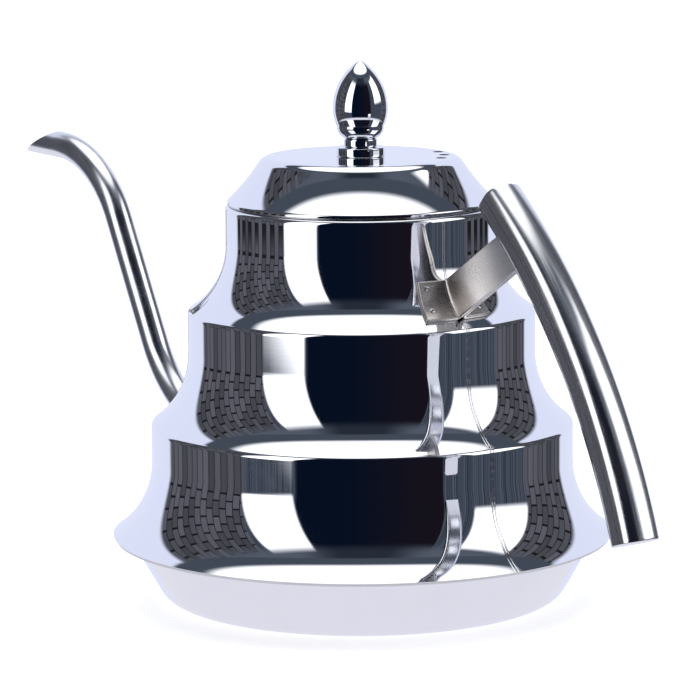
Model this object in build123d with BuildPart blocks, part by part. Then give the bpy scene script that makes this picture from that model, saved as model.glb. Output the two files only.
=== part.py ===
"""Gooseneck kettle: a three-tier steel body on a shallow base pan, with a swan-neck spout,
a lift-off lid with a drop-shaped knob, and a hollow curved handle on a folded bracket.

The origin is the centre of the flat base. +Z is up and +X points at the handle.
"""

import os
from math import atan2, cos, degrees, radians, sin, sqrt, tan

from build123d import *

# ---------------------------------------------------------------- driving sizes, mm and degrees

sheet = 0.6  # body, pan, lid and knob sheet

# Body: each tier is an upright wall over a concave flare that ends in a crease
skirt_radius = 76.5
lower_radius = 64.4
middle_radius = 52.9
neck_radius = 41.3
skirt_height = 20.1
lower_flare = 22.9
lower_wall = 11.3
middle_flare = 21.6
middle_wall = 12.9
neck_flare = 20.1
neck_wall = 12.2

# Mouth: the neck's edge is turned in to a flat ledge and then down
ledge_width = 3.5
mouth_bend = 1.6
mouth_lip = 3.6

# Base pan: flat bottom, rounded corner, slanted wall, lip lapped under the skirt
pan_flat_radius = 56.0
pan_corner = 7.3
pan_wall_lean = 30.0
lip_lap = 3.2

# Spout, in the XZ plane; distances outwards are along -X
spout_diameter = 8.8
spout_wall = 0.6
spout_root_height = 36.6
spout_root_rise = 10.0
spout_elbow_out = 103.5
spout_beak_height = 123.6
spout_beak_rise = 1.5
spout_reach = 189.4
spout_beak_run = 43.3  # from the upper bend's corner out to the beak
spout_lower_bend = 47.0
spout_upper_bend = 40.0
beak_cut_angle = 25.0

# Handle: one arc in the XZ plane, of a rounded hollow section
handle_arc_radius = 201.5
handle_centre_x = -61.8
handle_centre_z = -24.2
handle_low_angle = 18.2
handle_high_angle = 49.6
handle_depth = 10.6
handle_width = 13.0
handle_crown = 2.0
handle_outer_corner = 4.6
handle_inner_corner = 2.4
handle_sheet = 0.8
handle_seam = 5.4  # from the inner face to the seam between channel and plate
cap_thickness = 1.2
cap_edge = 0.6

# Bracket: two plates back to back, each folded into a flange on the neck's flare
bracket_sheet = 1.2
web_width = 12.8
web_rise = 32.5
web_entry = 3.0  # how far the web reaches into the hollow handle
slot_clearance = 0.1
flange_low_step = 2.5  # above the middle crease
flange_rise = 11.1
flange_sweep = 13.7
weld_diameter = 1.7
weld_height = 0.15
weld_sweep = 10.4
weld_inset = 2.4  # from the flange's upper and lower edges

# Lid
lid_rim_radius = 40.6
lid_height = 14.0
lid_plateau_radius = 27.6
lid_shoulder = 4.0
lid_shoulder_turn = 57.0
lid_hem = 0.7
ring_sheet = 0.5
ring_clearance = 0.5
ring_depth = 8.6
ring_setback = 0.2  # of the ring's flange from the lid's hem
vent_diameter = 3.2
vent_circle = 25.3
vent_first = 36.8
vent_step = 19.0
vent_count = 3

# Knob
collar_radius = 7.4
collar_height = 2.8
collar_edge = 0.45
neck_bush_radius = 5.1
neck_bush_height = 2.5
neck_bush_edge = 0.44
cup_height = 4.1
cup_radius = 7.1
cup_foot_radius = 4.4
cup_spigot = 1.4
cup_bulge_out = 0.72  # the middle of the cup's curve, as shares of its width and height
cup_bulge_up = 0.3
drop_edge_radius = 7.4
drop_radius = 8.4
drop_belly = 5.0
drop_height = 19.7
insert_radius = 3.4
insert_height = 7.0
screw_radius = 2.0
screw_clearance = 0.15
screw_reach = 4.5
head_radius = 4.0
head_height = 2.4
head_edge = 0.8
washer_radius = 4.5
washer_height = 0.8
spring_washer_radius = 3.8
spring_washer_height = 1.0
spring_washer_gap = 0.5
driver_recess = 1.3
driver_width = 0.65

# ---------------------------------------------------------------- worked out from the above

lower_top = skirt_height + lower_flare
lower_crease = lower_top + lower_wall
middle_top = lower_crease + middle_flare
middle_crease = middle_top + middle_wall
neck_top = middle_crease + neck_flare
mouth_height = neck_top + neck_wall
mouth_radius = neck_radius - ledge_width
lid_seat = mouth_height + ring_sheet
lid_top = mouth_height + lid_height + ring_sheet
tiers = [
    (neck_radius, middle_radius, neck_top, neck_flare, middle_top),
    (middle_radius, lower_radius, middle_top, middle_flare, lower_top),
    (lower_radius, skirt_radius, lower_top, lower_flare, None),
]


def on_circle(centre, radius, angle):
    """Point on a circle, by its angle in degrees."""
    return centre[0] + radius * cos(radians(angle)), centre[1] + radius * sin(radians(angle))


def flare_centre(wall_radius, crease_radius, top, rise):
    """Centre and radius of a concave flare that leaves its wall upright."""
    step = crease_radius - wall_radius
    radius = (step**2 + rise**2) / (2 * step)
    return (wall_radius + radius, top), radius


def body_line(inset):
    """The body's line from the neck down to the skirt's edge, moved in by inset."""
    upper = (neck_radius - inset, mouth_height - mouth_bend)
    for wall_radius, crease_radius, top, rise, next_top in tiers:
        centre, radius = flare_centre(wall_radius, crease_radius, top, rise)
        Line(upper, (wall_radius - inset, top))
        reach = radius + inset
        if next_top is None:
            turn = degrees(atan2(rise, centre[0] - crease_radius))
        else:
            across = (centre[0] - crease_radius + inset) / reach
            turn = degrees(atan2(sqrt(1 - across**2), across))
        CenterArc(centre, reach, 180, turn)
        upper = on_circle(centre, reach, 180 + turn)
    return upper


def radius_at(height, inset=0.0):
    """The body's radius at a height on the neck's flare."""
    centre, radius = flare_centre(neck_radius, middle_radius, neck_top, neck_flare)
    reach = radius + inset
    return centre[0] - sqrt(reach**2 - (neck_top - height) ** 2)


def body_core(inset):
    """Profile filled from the axis to the body's line, for cutting what meets the body."""
    with BuildSketch(Plane.XZ) as core:
        with BuildLine():
            end = body_line(inset)
            top = mouth_height + mouth_bend
            Line((neck_radius - inset, mouth_height - mouth_bend), (neck_radius - inset, top))
            Line((neck_radius - inset, top), (0, top))
            Line((0, top), (0, end[1]))
            Line((0, end[1]), end)
        make_face()
    return core.sketch


# ---------------------------------------------------------------- spout line and its solid rod

spout_radius = spout_diameter / 2
elbow_height = spout_root_height + (spout_elbow_out - lower_radius) * tan(radians(spout_root_rise))
beak_drop = tan(radians(spout_beak_rise))
crook_out = spout_reach - spout_beak_run
beak_tip_height = spout_beak_height + (spout_reach - crook_out) * beak_drop
root_out = lower_radius - 2 * spout_radius
root_height = spout_root_height - 2 * spout_radius * tan(radians(spout_root_rise))
spout_points = [
    (-root_out, root_height),
    (-spout_elbow_out, elbow_height),
    (-crook_out, spout_beak_height),
    (-spout_reach, beak_tip_height),
]

with BuildLine(Plane.XZ) as spout_line:
    FilletPolyline(*spout_points, radius=[spout_lower_bend, spout_upper_bend])

spout_start = Plane(origin=spout_line.wires()[0] @ 0, z_dir=spout_line.wires()[0] % 0)

with BuildPart() as spout_rod:
    with BuildSketch(spout_start):
        Circle(spout_radius)
    sweep(path=spout_line.wires()[0])

# ---------------------------------------------------------------- body shell

with BuildPart() as body_shell:
    with BuildSketch(Plane.XZ):
        with BuildLine():
            skirt_outer = body_line(0)
            skirt_inner = body_line(sheet)
            Line(skirt_outer, skirt_inner)
            bend_centre = (neck_radius - mouth_bend, mouth_height - mouth_bend)
            CenterArc(bend_centre, mouth_bend, 0, 90)
            CenterArc(bend_centre, mouth_bend - sheet, 0, 90)
            lip_centre = (mouth_radius + 2 * sheet, mouth_height - 2 * sheet)
            CenterArc(lip_centre, 2 * sheet, 90, 90)
            CenterArc(lip_centre, sheet, 90, 90)
            Line((bend_centre[0], mouth_height), (lip_centre[0], mouth_height))
            Line((bend_centre[0], mouth_height - sheet), (lip_centre[0], mouth_height - sheet))
            lip_end = mouth_height - mouth_lip
            Line((mouth_radius, lip_centre[1]), (mouth_radius, lip_end))
            Line((mouth_radius + sheet, lip_centre[1]), (mouth_radius + sheet, lip_end))
            Line((mouth_radius, lip_end), (mouth_radius + sheet, lip_end))
        make_face()
    revolve(axis=Axis.Z)
    add(spout_rod.part, mode=Mode.SUBTRACT)

body_shell.part.label = "body_shell"

# ---------------------------------------------------------------- base pan

skirt_centre, skirt_flare = flare_centre(lower_radius, skirt_radius, lower_top, lower_flare)
skirt_turn = degrees(atan2(lower_flare, skirt_centre[0] - skirt_radius))
lap_turn = degrees(lip_lap / skirt_flare)
lap_top = skirt_flare + sheet
lap_under = skirt_flare + 2 * sheet
wall_lean = radians(pan_wall_lean)
corner_centre = (pan_flat_radius, pan_corner)
outer_corner = on_circle(corner_centre, pan_corner, -pan_wall_lean)
inner_corner = on_circle(corner_centre, pan_corner - sheet, -pan_wall_lean)


def wall_meets(start, reach):
    """Where a line up the pan's wall from start meets the circle of the skirt's flare."""
    along = (sin(wall_lean), cos(wall_lean))
    offset = (start[0] - skirt_centre[0], start[1] - skirt_centre[1])
    half = along[0] * offset[0] + along[1] * offset[1]
    run = -half - sqrt(half**2 - offset[0] ** 2 - offset[1] ** 2 + reach**2)
    return start[0] + along[0] * run, start[1] + along[1] * run


def flare_angle(point):
    """Angle of a point about the skirt flare's centre, in degrees past the upright wall."""
    return degrees(atan2(skirt_centre[1] - point[1], skirt_centre[0] - point[0]))


wall_outer_top = wall_meets(outer_corner, lap_under)
wall_inner_top = wall_meets(inner_corner, lap_top)
under_turn = flare_angle(wall_outer_top)
upper_turn = flare_angle(wall_inner_top)

with BuildPart() as base_pan:
    with BuildSketch(Plane.XZ):
        with BuildLine():
            Line((0, 0), (pan_flat_radius, 0))
            CenterArc(corner_centre, pan_corner, 270, 90 - pan_wall_lean)
            Line(outer_corner, wall_outer_top)
            CenterArc(skirt_centre, lap_under, 180 + under_turn, skirt_turn - under_turn)
            Line(
                on_circle(skirt_centre, lap_under, 180 + skirt_turn),
                on_circle(skirt_centre, lap_top, 180 + skirt_turn),
            )
            CenterArc(skirt_centre, lap_top, 180 + upper_turn, skirt_turn - upper_turn)
            Line(wall_inner_top, inner_corner)
            CenterArc(corner_centre, pan_corner - sheet, 270, 90 - pan_wall_lean)
            Line((pan_flat_radius, sheet), (0, sheet))
            Line((0, sheet), (0, 0))
        make_face()
    revolve(axis=Axis.Z)

base_pan.part.label = "base_pan"

# ---------------------------------------------------------------- spout tube

with BuildPart() as body_hollow:
    add(body_core(sheet))
    revolve(axis=Axis.Z)

beak_tip = Vector(-spout_reach, 0, beak_tip_height - spout_radius)
cut_normal = Vector(-sin(radians(beak_cut_angle)), 0, cos(radians(beak_cut_angle)))

with BuildPart() as spout_tube:
    with BuildSketch(spout_start):
        Circle(spout_radius)
        Circle(spout_radius - spout_wall, mode=Mode.SUBTRACT)
    sweep(path=spout_line.wires()[0])
    add(body_hollow.part, mode=Mode.SUBTRACT)
    split(bisect_by=Plane(origin=beak_tip, z_dir=cut_normal), keep=Keep.BOTTOM)

spout_tube.part.label = "spout_tube"

# ---------------------------------------------------------------- bracket plates and welds

flange_low = middle_crease + flange_low_step
flange_high = flange_low + flange_rise
web_root = Vector((radius_at(flange_low) + radius_at(flange_high)) / 2, (flange_low + flange_high) / 2)
web_along = Vector(cos(radians(web_rise)), sin(radians(web_rise)))
web_across = Vector(-web_along.Y, web_along.X) * (web_width / 2)
handle_centre = Vector(handle_centre_x, handle_centre_z)
inner_face = handle_arc_radius - handle_depth / 2


def web_reach(radius):
    """Distance from the web's root along its middle to a circle about the handle's centre."""
    offset = web_root - handle_centre
    half = web_along.dot(offset)
    return -half + sqrt(half**2 - offset.dot(offset) + radius**2)


web_length = web_reach(inner_face + handle_sheet + web_entry)


def web_outline(start, end, margin):
    """The web's outline between two distances from its root, widened by margin."""
    side = web_across * (1 + 2 * margin / web_width)
    near = web_root + web_along * start
    far = web_root + web_along * end
    return [near - side, far - side, far + side, near + side]


with BuildPart() as body_envelope:
    add(body_core(0))
    revolve(axis=Axis.Z)

with BuildPart() as flange_envelope:
    add(body_core(-bracket_sheet))
    revolve(axis=Axis.Z)

bracket_plates = []
for side, name in ((-1, "bracket_plate_near"), (1, "bracket_plate_far")):
    with BuildPart() as plate:
        with BuildSketch(Plane.XZ):
            Polygon(*[(p.X, p.Y) for p in web_outline(-web_width, web_length, 0)], align=None)
            with Locations((neck_radius, flange_low)):
                Rectangle(
                    2 * neck_radius,
                    2 * neck_radius,
                    align=(Align.CENTER, Align.MAX),
                    mode=Mode.SUBTRACT,
                )
        extrude(amount=-side * bracket_sheet)
        with BuildSketch(Plane.XZ):
            add(body_core(-bracket_sheet))
            with Locations((0, flange_low)):
                Rectangle(
                    2 * neck_radius + 2 * middle_radius,
                    flange_rise,
                    align=(Align.CENTER, Align.MIN),
                    mode=Mode.INTERSECT,
                )
        revolve(axis=Axis.Z, revolution_arc=side * flange_sweep)
        add(body_envelope.part, mode=Mode.SUBTRACT)
    plate.part.label = name
    bracket_plates.append(plate)

flange_normals = []
neck_flare_centre, neck_flare_radius = flare_centre(neck_radius, middle_radius, neck_top, neck_flare)
for height in (flange_low + weld_inset, flange_high - weld_inset):
    lean = atan2(neck_top - height, neck_flare_centre[0] - radius_at(height))
    for sweep_angle in (-weld_sweep, weld_sweep):
        outward = Vector(cos(lean), 0, sin(lean)).rotate(Axis.Z, sweep_angle)
        foot = Vector(radius_at(height), 0, height).rotate(Axis.Z, sweep_angle)
        flange_normals.append(Plane(origin=foot + outward * bracket_sheet, z_dir=outward))

with BuildPart() as bracket_welds:
    for spot in flange_normals:
        with BuildSketch(spot.offset(-bracket_sheet / 2)):
            Circle(weld_diameter / 2)
        extrude(amount=bracket_sheet / 2 + weld_height)
    add(flange_envelope.part, mode=Mode.SUBTRACT)

bracket_welds.part.label = "bracket_welds"

# ---------------------------------------------------------------- handle

handle_axis = Axis((handle_centre_x, 0, handle_centre_z), (0, -1, 0))
handle_arc = handle_high_angle - handle_low_angle


def handle_plane(angle):
    """Plane across the handle at an angle of its arc: x is outwards, z runs up the handle."""
    turn = radians(angle)
    return Plane(
        origin=(handle_centre_x, 0, handle_centre_z),
        x_dir=(cos(turn), 0, sin(turn)),
        z_dir=(-sin(turn), 0, cos(turn)),
    )


def handle_outline(inset):
    """Closed rounded outline of the handle's section, moved in by inset."""
    half = handle_width / 2 - inset
    inner = handle_arc_radius - handle_depth / 2 + inset
    outer = handle_arc_radius + handle_depth / 2 - inset
    with BuildSketch() as outline:
        with BuildLine():
            Line((inner, -half), (inner, half))
            Line((inner, half), (outer - handle_crown, half))
            ThreePointArc((outer - handle_crown, half), (outer, 0), (outer - handle_crown, -half))
            Line((outer - handle_crown, -half), (inner, -half))
        make_face()
        corners = outline.vertices().group_by(Axis.X)
        fillet(corners[0], handle_inner_corner - inset)
        fillet(corners[-1], handle_outer_corner - inset)
    return outline.sketch


seam_line = handle_arc_radius - handle_depth / 2 + handle_seam
handle_parts = {}
for name, side in (("handle_outer_channel", Align.MIN), ("handle_inner_plate", Align.MAX)):
    with BuildPart() as half_shell:
        with BuildSketch(handle_plane(handle_low_angle)):
            add(handle_outline(0))
            add(handle_outline(handle_sheet), mode=Mode.SUBTRACT)
            with Locations((seam_line, 0)):
                Rectangle(
                    2 * handle_depth,
                    2 * handle_width,
                    align=(side, Align.CENTER),
                    mode=Mode.INTERSECT,
                )
        revolve(axis=handle_axis, revolution_arc=handle_arc)
        if side == Align.MAX:
            with BuildSketch(Plane.XZ):
                slot = web_outline(web_length - 3 * web_entry, web_length, slot_clearance)
                Polygon(*[(p.X, p.Y) for p in slot], align=None)
            extrude(amount=bracket_sheet + slot_clearance, both=True, mode=Mode.SUBTRACT)
    half_shell.part.label = name
    handle_parts[name] = half_shell

for name, angle, direction in (
    ("handle_top_cap", handle_high_angle, 1),
    ("handle_bottom_cap", handle_low_angle, -1),
):
    rim_offset = direction * (cap_thickness - cap_edge)
    with BuildPart() as cap:
        with BuildSketch(handle_plane(angle)):
            add(handle_outline(0))
        extrude(amount=rim_offset)
        with BuildSketch(handle_plane(angle).offset(rim_offset)):
            add(handle_outline(0))
        with BuildSketch(handle_plane(angle).offset(direction * cap_thickness)):
            add(handle_outline(cap_edge))
        loft()
    cap.part.label = name
    handle_parts[name] = cap

# ---------------------------------------------------------------- lid cover and its ring

ring_radius = mouth_radius - ring_clearance
shoulder_centre = (lid_plateau_radius, lid_top - lid_shoulder)
shoulder_end = on_circle(shoulder_centre, lid_shoulder, 90 - lid_shoulder_turn)
shoulder_out = (sin(radians(lid_shoulder_turn)), cos(radians(lid_shoulder_turn)))
rim_step = (lid_rim_radius - shoulder_end[0], lid_seat + lid_hem - shoulder_end[1])
lid_flare = (rim_step[0] ** 2 + rim_step[1] ** 2) / (
    2 * (shoulder_out[0] * rim_step[0] + shoulder_out[1] * rim_step[1])
)
lid_flare_centre = on_circle(shoulder_end, lid_flare, 90 - lid_shoulder_turn)
vent_sweep = vent_step * (vent_count - 1)


def lid_line(inset):
    """The lid's line from its axis out to the foot of its hem, moved in by inset."""
    Line((0, lid_top - inset), (lid_plateau_radius, lid_top - inset))
    start_angle = 90 - lid_shoulder_turn
    CenterArc(shoulder_centre, lid_shoulder - inset, 90, -lid_shoulder_turn)
    reach = lid_flare + inset
    rim = lid_rim_radius - inset
    drop = sqrt(reach**2 - (lid_flare_centre[0] - rim) ** 2)
    end_angle = degrees(atan2(drop, lid_flare_centre[0] - rim))
    CenterArc(lid_flare_centre, reach, 180 + start_angle, end_angle - start_angle)
    Line((rim, lid_flare_centre[1] - drop), (rim, lid_seat))


with BuildPart() as lid_cover:
    with BuildSketch(Plane.XZ):
        with BuildLine():
            lid_line(0)
            lid_line(sheet)
            Line((lid_rim_radius, lid_seat), (lid_rim_radius - sheet, lid_seat))
            Line((0, lid_top), (0, lid_top - sheet))
        make_face()
    revolve(axis=Axis.Z)
    with BuildSketch(Plane.XY.offset(lid_top)):
        with PolarLocations(vent_circle, vent_count, vent_first, vent_sweep, endpoint=True):
            Circle(vent_diameter / 2)
        Circle(screw_radius + screw_clearance)
    extrude(amount=-2 * sheet, mode=Mode.SUBTRACT)

lid_cover.part.label = "lid_cover"

ring_flange_radius = lid_rim_radius - ring_setback

with BuildPart() as lid_inner_ring:
    with BuildSketch(Plane.XZ):
        with BuildLine():
            Polyline(
                (ring_radius, mouth_height - ring_depth),
                (ring_radius, mouth_height),
                (ring_flange_radius, mouth_height),
                (ring_flange_radius, lid_seat),
                (ring_radius - ring_sheet, lid_seat),
                (ring_radius - ring_sheet, mouth_height - ring_depth),
                close=True,
            )
        make_face()
    revolve(axis=Axis.Z)

lid_inner_ring.part.label = "lid_inner_ring"

# ---------------------------------------------------------------- knob and its screw

hole_radius = screw_radius + screw_clearance
bush_foot = lid_top + collar_height
cup_foot = bush_foot + neck_bush_height
drop_foot = cup_foot + cup_height
drop_middle = drop_foot + drop_belly
drop_tip = drop_foot + drop_height

with BuildPart() as knob_collar:
    with BuildSketch(Plane.XY.offset(lid_top)):
        Circle(collar_radius)
    extrude(amount=collar_height)
    fillet(knob_collar.edges().group_by(Axis.Z)[-1], collar_edge)
    with BuildSketch(Plane.XY.offset(lid_top)):
        Circle(hole_radius)
    extrude(amount=collar_height, mode=Mode.SUBTRACT)

knob_collar.part.label = "knob_collar"

with BuildPart() as knob_neck_bush:
    with BuildSketch(Plane.XY.offset(bush_foot)):
        Circle(neck_bush_radius)
    extrude(amount=neck_bush_height)
    fillet(knob_neck_bush.edges(), neck_bush_edge)
    with BuildSketch(Plane.XY.offset(bush_foot)):
        Circle(hole_radius)
    extrude(amount=neck_bush_height, mode=Mode.SUBTRACT)

knob_neck_bush.part.label = "knob_neck_bush"


def drop_line(inset):
    """The drop's line from its lower edge round to its tip, moved in by inset."""
    edge = (drop_edge_radius - inset, drop_foot)
    belly = (drop_radius - inset, drop_middle)
    rise = drop_tip - drop_middle
    reach = (drop_radius**2 + rise**2) / (2 * drop_radius)
    centre = (drop_radius - reach, drop_middle)
    tip = (0, drop_middle + sqrt((reach - inset) ** 2 - centre[0] ** 2))
    tip_turn = degrees(atan2(tip[1] - centre[1], -centre[0]))
    halfway = on_circle(centre, reach - inset, tip_turn / 2)
    slant = (2 * (drop_radius - drop_edge_radius), drop_belly)
    arrival = (-sin(radians(tip_turn)), cos(radians(tip_turn)))
    Spline(edge, belly, tangents=[slant, (0, 1)])
    Spline(belly, halfway, tip, tangents=[(0, 1), arrival])
    return edge, tip


with BuildPart() as knob_drop:
    with BuildSketch(Plane.XZ):
        with BuildLine():
            outer_edge, outer_tip = drop_line(0)
            inner_edge, inner_tip = drop_line(sheet)
            Line(outer_edge, inner_edge)
            Line(outer_tip, inner_tip)
        make_face()
    revolve(axis=Axis.Z)

knob_drop.part.label = "knob_drop"

spigot_radius = inner_edge[0]

with BuildPart() as knob_cup:
    with BuildSketch(Plane.XZ):
        with BuildLine():
            cup_middle = (
                cup_foot_radius + cup_bulge_out * (cup_radius - cup_foot_radius),
                cup_foot + cup_bulge_up * cup_height,
            )
            ThreePointArc((cup_foot_radius, cup_foot), cup_middle, (cup_radius, drop_foot))
            Line((cup_radius, drop_foot), (spigot_radius, drop_foot))
            Line((spigot_radius, drop_foot), (spigot_radius, drop_foot + cup_spigot))
            Line((spigot_radius, drop_foot + cup_spigot), (spigot_radius - sheet, drop_foot + cup_spigot))
            Line((spigot_radius - sheet, drop_foot + cup_spigot), (spigot_radius - sheet, drop_foot))
            floor_middle = (cup_middle[0] - sheet, cup_middle[1] + sheet)
            floor_corner = (cup_foot_radius - sheet / 2, cup_foot + sheet)
            ThreePointArc((spigot_radius - sheet, drop_foot), floor_middle, floor_corner)
            Line(floor_corner, (hole_radius, cup_foot + sheet))
            Line((hole_radius, cup_foot + sheet), (hole_radius, cup_foot))
            Line((hole_radius, cup_foot), (cup_foot_radius, cup_foot))
        make_face()
    revolve(axis=Axis.Z)

knob_cup.part.label = "knob_cup"

with BuildPart() as knob_insert:
    with BuildSketch(Plane.XY.offset(cup_foot + sheet)):
        Circle(insert_radius)
        Circle(screw_radius, mode=Mode.SUBTRACT)
    extrude(amount=insert_height)

knob_insert.part.label = "knob_insert"

washer_foot = lid_top - sheet - washer_height
spring_foot = washer_foot - spring_washer_height

with BuildPart() as knob_washer:
    with BuildSketch(Plane.XY.offset(washer_foot)):
        Circle(washer_radius)
        Circle(hole_radius, mode=Mode.SUBTRACT)
    extrude(amount=washer_height)

knob_washer.part.label = "knob_washer"

with BuildPart() as knob_spring_washer:
    with BuildSketch(Plane.XY.offset(spring_foot)):
        Circle(spring_washer_radius)
        Circle(hole_radius, mode=Mode.SUBTRACT)
        with Locations((spring_washer_radius, 0)):
            Rectangle(2 * spring_washer_radius, spring_washer_gap, mode=Mode.SUBTRACT)
    extrude(amount=spring_washer_height)

knob_spring_washer.part.label = "knob_spring_washer"

with BuildPart() as knob_screw:
    with BuildSketch(Plane.XY.offset(spring_foot)):
        Circle(head_radius)
    extrude(amount=-head_height)
    fillet(knob_screw.edges().group_by(Axis.Z)[0], head_edge)
    with BuildSketch(Plane.XY.offset(spring_foot)):
        Circle(screw_radius)
    extrude(amount=cup_foot + sheet + screw_reach - spring_foot)
    with BuildSketch(Plane.XY.offset(spring_foot - head_height)):
        Rectangle(head_radius, driver_width)
        Rectangle(driver_width, head_radius)
    extrude(amount=driver_recess, mode=Mode.SUBTRACT)

knob_screw.part.label = "knob_screw"

# ---------------------------------------------------------------- files

pieces = [
    body_shell,
    base_pan,
    spout_tube,
    *bracket_plates,
    bracket_welds,
    *handle_parts.values(),
    lid_cover,
    lid_inner_ring,
    knob_collar,
    knob_neck_bush,
    knob_cup,
    knob_drop,
    knob_insert,
    knob_washer,
    knob_spring_washer,
    knob_screw,
]

os.makedirs("parts", exist_ok=True)
for piece in pieces:
    export_step(piece.part, f"parts/{piece.part.label}.step")
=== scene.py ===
"""Gooseneck kettle in polished stainless steel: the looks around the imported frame.

Metres, +Z up, +X towards the handle and the spout along -X, as in the frame.
"""

from math import asin, atan2, cos, degrees, hypot, pi, radians, sin, sqrt, tan

import bmesh
import bpy
from mathutils import Matrix, Vector


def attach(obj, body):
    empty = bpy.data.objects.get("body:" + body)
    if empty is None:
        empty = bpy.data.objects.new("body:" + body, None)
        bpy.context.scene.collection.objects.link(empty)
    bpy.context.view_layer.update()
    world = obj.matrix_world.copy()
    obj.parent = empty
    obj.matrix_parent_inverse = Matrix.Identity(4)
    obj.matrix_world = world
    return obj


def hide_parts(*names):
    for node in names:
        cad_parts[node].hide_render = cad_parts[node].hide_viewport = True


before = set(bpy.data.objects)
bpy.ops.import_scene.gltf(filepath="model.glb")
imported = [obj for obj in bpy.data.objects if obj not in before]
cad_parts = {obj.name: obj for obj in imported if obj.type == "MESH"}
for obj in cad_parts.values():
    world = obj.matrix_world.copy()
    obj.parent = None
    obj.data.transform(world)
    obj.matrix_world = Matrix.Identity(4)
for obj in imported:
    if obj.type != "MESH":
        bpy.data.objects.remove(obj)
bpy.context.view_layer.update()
mm = 0.001

# ------------------------------------------------------------------ camera
# A long lens a little above the lid. It sees the kettle's near side, with the handle turned
# towards it.

camera_azimuth = radians(53.8)
camera_elevation = radians(9.3)
camera_distance = 1.22
camera_aim = Vector((-0.0021, -0.0029, 0.0760))
camera_roll = radians(0.35)
lens_length = 205.7
sensor_width = 36

camera = bpy.data.objects.new("camera", bpy.data.cameras.new("camera"))
camera.data.lens = lens_length
camera.data.sensor_width = sensor_width
towards_camera = Vector((sin(camera_azimuth), -cos(camera_azimuth), 0))
back = towards_camera * cos(camera_elevation) + Vector((0, 0, sin(camera_elevation)))
camera.location = camera_aim + back * camera_distance
camera.rotation_mode = "QUATERNION"
level_view = (-back).to_track_quat("-Z", "Y")
camera.rotation_quaternion = level_view @ Matrix.Rotation(-camera_roll, 3, "Z").to_quaternion()
bpy.context.scene.collection.objects.link(camera)
bpy.context.scene.camera = camera
bpy.context.scene.view_settings.view_transform = "Standard"

# ------------------------------------------------------------------ studio
# A dark room with a softbox on each side, brick side walls, a round white panel with a dark rim
# overhead, a white sweep behind the kettle and a white floor. Polished steel shows nothing else.


class Shade:
    """A socket of a node tree. Sums on it add Math nodes, and node() adds any other node."""

    def __init__(self, tree, socket=None):
        self.tree, self.socket = tree, socket

    def node(self, kind, settings=None, inputs=None, output=0):
        made = self.tree.nodes.new(kind)
        for name, value in (settings or {}).items():
            setattr(made, name, value)
        for name, value in (inputs or {}).items():
            if isinstance(value, Shade):
                self.tree.links.new(value.socket, made.inputs[name])
            else:
                made.inputs[name].default_value = value
        return Shade(self.tree, made.outputs[output])

    def out(self, name):
        return Shade(self.tree, self.socket.node.outputs[name])

    def shown_by(self, kind):
        """Sends this shader to a new output node of the tree."""
        self.tree.links.new(self.socket, self.tree.nodes.new(kind).inputs["Surface"])

    def maths(self, operation, *values):
        return self.node("ShaderNodeMath", {"operation": operation}, dict(enumerate(values)))

    def __add__(self, other):
        return self.maths("ADD", self, other)

    def __radd__(self, other):
        return self.maths("ADD", other, self)

    def __sub__(self, other):
        return self.maths("SUBTRACT", self, other)

    def __rsub__(self, other):
        return self.maths("SUBTRACT", other, self)

    def __mul__(self, other):
        return self.maths("MULTIPLY", self, other)

    def __rmul__(self, other):
        return self.maths("MULTIPLY", other, self)

    def __abs__(self):
        return self.maths("ABSOLUTE", self)

    def step(self, low, high, to_low=0.0, to_high=1.0):
        """Smooth step of this value, from to_low at low to to_high at high."""
        start = {"Value": self, "From Min": low, "From Max": high}
        ends = {"To Min": to_low, "To Max": to_high}
        return self.node("ShaderNodeMapRange", {"interpolation_type": "SMOOTHSTEP"}, start | ends)

    def within(self, low, high, soft):
        """1 between low and high, with soft edges."""
        return self.step(low - soft, low + soft) * self.step(high + soft, high - soft)

    def blend(self, first, second):
        """Colour mix by this value: first at 0, second at 1."""
        factor, colour_a, colour_b, colour_out = 0, 6, 7, 2
        first, second = [c if isinstance(c, Shade) else (*c, 1) for c in (first, second)]
        inputs = {factor: self, colour_a: first, colour_b: second}
        return self.node("ShaderNodeMix", {"data_type": "RGBA"}, inputs, colour_out)


studio = bpy.data.worlds.new("studio")
bpy.context.scene.world = studio
studio.use_nodes = True
studio.node_tree.nodes.clear()
room = Shade(studio.node_tree)

# A direction in the room is a turn, 0 towards the viewer and growing to the right, and a lift
# above the level, both in degrees.
ray = room.node("ShaderNodeTexCoord")
along = room.node("ShaderNodeSeparateXYZ", inputs={0: ray.out("Generated")})
east, north, rise = along.out("X"), along.out("Y"), along.out("Z")
to_front = east * towards_camera.x + north * towards_camera.y
to_right = east * -towards_camera.y + north * towards_camera.x
turn = room.maths("ARCTAN2", to_right, to_front) * degrees(1)
lift = room.maths("ARCSINE", rise) * degrees(1)

brick_tall, brick_wide = 14, 4.6
brick_inputs = {0: lift * (1 / brick_tall), 1: turn * (1 / brick_wide)}
brick_place = room.node("ShaderNodeCombineXYZ", inputs=brick_inputs)
bricks = room.node(
    "ShaderNodeTexBrick",
    {"offset": 0.5},
    {
        "Vector": brick_place,
        "Color1": (0.12, 0.122, 0.145, 1),
        "Color2": (0.06, 0.062, 0.073, 1),
        "Mortar": (0.012, 0.012, 0.015, 1),
        "Scale": 1.0,
        "Mortar Size": 0.07,
        "Mortar Smooth": 0.4,
        "Brick Width": 1.0,
        "Row Height": 1.0,
    },
)
dark = turn.step(-20, 45).blend((0.0018, 0.0055, 0.016), (0.009, 0.007, 0.012))
slat_inputs = {"Vector": lift * 0.02 + turn * 0.9, "Scale": 1.0, "Detail": 3.0}
slats = room.node("ShaderNodeTexNoise", inputs=slat_inputs)
smoke = slats.step(0.35, 0.65).blend((0.02, 0.028, 0.045), (0.095, 0.112, 0.145))
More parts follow.
